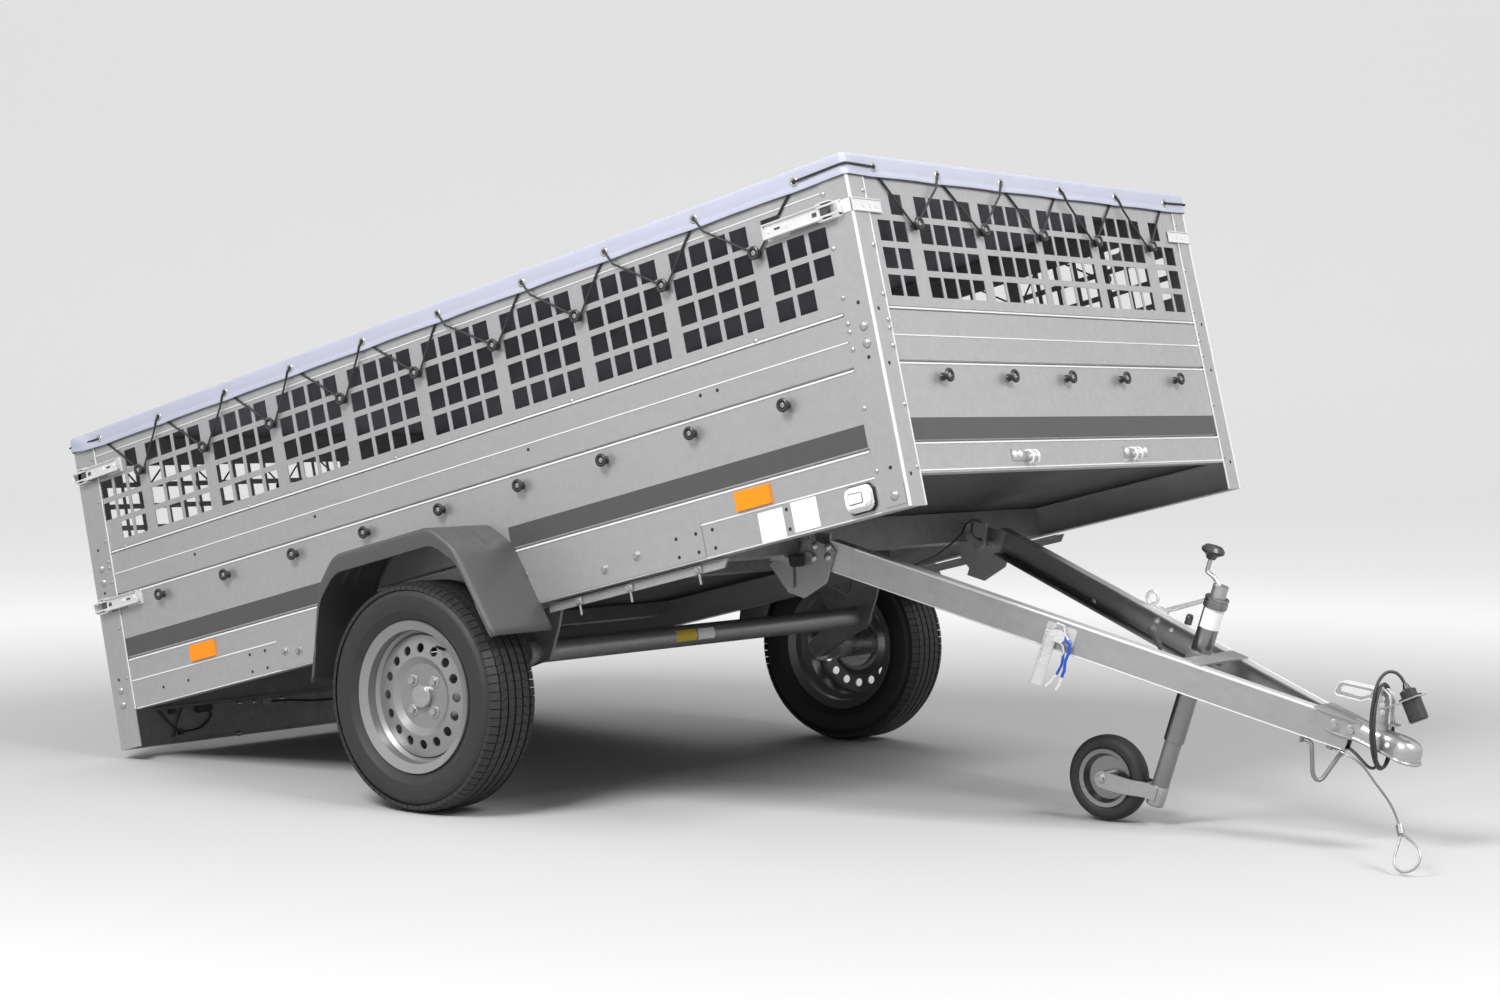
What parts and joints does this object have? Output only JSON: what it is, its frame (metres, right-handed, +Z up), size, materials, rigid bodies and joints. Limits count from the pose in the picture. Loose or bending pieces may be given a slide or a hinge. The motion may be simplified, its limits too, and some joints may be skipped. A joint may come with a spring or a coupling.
{
  "type": "tipping box trailer",
  "caption": "Single-axle utility trailer: box body with mesh boards and flat laced cover, tipped on a hinged V drawbar with ball coupling and jockey wheel.",
  "frame": {"origin": "on the floor in the middle plane, under the middle of the length from the body's rear top edge to the coupling's tip, without the loose lead and safety wire", "axes": "+X forward to the coupling, +Y to the left side, +Z up"},
  "size_m": [3.7469, 1.884, 1.5071],
  "materials": {
    "galvanised_steel": "hot-dip galvanised, satin with fine spangle",
    "bright_zinc": "bright zinc plated",
    "lamp_beam": "satin black",
    "floor": "phenolic-coated plywood, satin",
    "cover_fabric": "coated tarpaulin, matte",
    "black_plastic": "moulded, matte",
    "fender_plastic": "moulded, fine grain",
    "lamp_plastic": "gloss lenses on black bases",
    "reflector_orange": "prismatic reflector",
    "silver_rim": "silver paint, satin",
    "black_tyre": "matte rubber",
    "cable_sheath": "smooth, satin"
  },
  "bodies": {
    "bed": {"side_rail_left": "galvanised_steel", "side_rail_right": "galvanised_steel", "side_board_left": "galvanised_steel", "side_board_right": "galvanised_steel", "mesh_board_left": "galvanised_steel", "mesh_board_right": "galvanised_steel", "mesh_board_front": "galvanised_steel", "mesh_board_rear": "galvanised_steel", "front_board": "galvanised_steel", "corner_posts": "galvanised_steel", "floor_panel": "floor", "frame_beams": "galvanised_steel", "lamp_beam": "lamp_beam", "lamps": "lamp_plastic", "reflectors": "reflector_orange", "cover": "cover_fabric", "knobs": "black_plastic", "box_latches": "bright_zinc", "front_hooks": "bright_zinc", "fender_left": "fender_plastic", "fender_right": "fender_plastic", "axle_tube": "galvanised_steel", "axle_plates": "galvanised_steel", "swing_arms": "galvanised_steel", "pivot_brackets": "galvanised_steel", "hinge_brackets": "galvanised_steel"},
    "tailgate": {"tailgate": "galvanised_steel", "tailgate_hinges": "galvanised_steel", "tailgate_knobs": "black_plastic", "tailgate_catches": "bright_zinc"},
    "wheel_left": {"hub_left": "bright_zinc", "rim_left": "silver_rim", "tyre_left": "black_tyre"},
    "wheel_right": {"hub_right": "bright_zinc", "rim_right": "silver_rim", "tyre_right": "black_tyre"},
    "drawbar": {"arm_left": "galvanised_steel", "arm_right": "galvanised_steel", "shoes": "galvanised_steel", "pivot_bolts": "bright_zinc", "arm_latches": "bright_zinc", "coupling_head": "bright_zinc", "coupling_handle": "bright_zinc", "support_loop": "bright_zinc", "arm_cable": "cable_sheath", "lead_ends": "cable_sheath", "lead_coil": "cable_sheath", "plug": "black_plastic", "jockey_clamp": "galvanised_steel", "clamp_lever": "bright_zinc", "safety_wire": "bright_zinc", "wire_ferrule": "bright_zinc"},
    "jockey_column": {"jockey_outer_tube": "galvanised_steel", "jockey_crank": "bright_zinc", "crank_knob": "black_plastic", "jockey_inner_tube": "galvanised_steel"},
    "jockey_fork": {"jockey_fork": "galvanised_steel"},
    "jockey_wheel": {"jockey_rim": "silver_rim", "jockey_tyre": "black_tyre"}
  },
  "joints": [
    {"name": "tip_hinge", "type": "hinge", "parent": "bed", "child": "drawbar", "pos_m": [0.47477, 0, 0.60981], "axis": [0, -1, 0], "range_deg": [0, 31.6]},
    {"name": "wheel_left_spin", "type": "hinge", "parent": "bed", "child": "wheel_left", "pos_m": [-0.30314, 0.854, 0.2735], "axis": [0, 1, 0], "continuous": true},
    {"name": "wheel_right_spin", "type": "hinge", "parent": "bed", "child": "wheel_right", "pos_m": [-0.30314, -0.854, 0.2735], "axis": [0, 1, 0], "continuous": true},
    {"name": "tailgate_hinge", "type": "hinge", "parent": "bed", "child": "tailgate", "pos_m": [-1.65629, 0, 0.19271], "axis": [0, -1, 0], "range_deg": [0, 100]},
    {"name": "jockey_slide", "type": "slide", "parent": "drawbar", "child": "jockey_column", "axis": [0.3107, 0, 0.9505], "range_m": [-0.08, 0.15]},
    {"name": "jockey_swivel", "type": "hinge", "parent": "jockey_column", "child": "jockey_fork", "pos_m": [1.16932, 0, 0.03585], "axis": [0.3107, 0, 0.9505], "continuous": true},
    {"name": "jockey_wheel_spin", "type": "hinge", "parent": "jockey_fork", "child": "jockey_wheel", "pos_m": [1.05352, 0, 0.1], "axis": [0, 1, 0], "continuous": true}
  ]
}
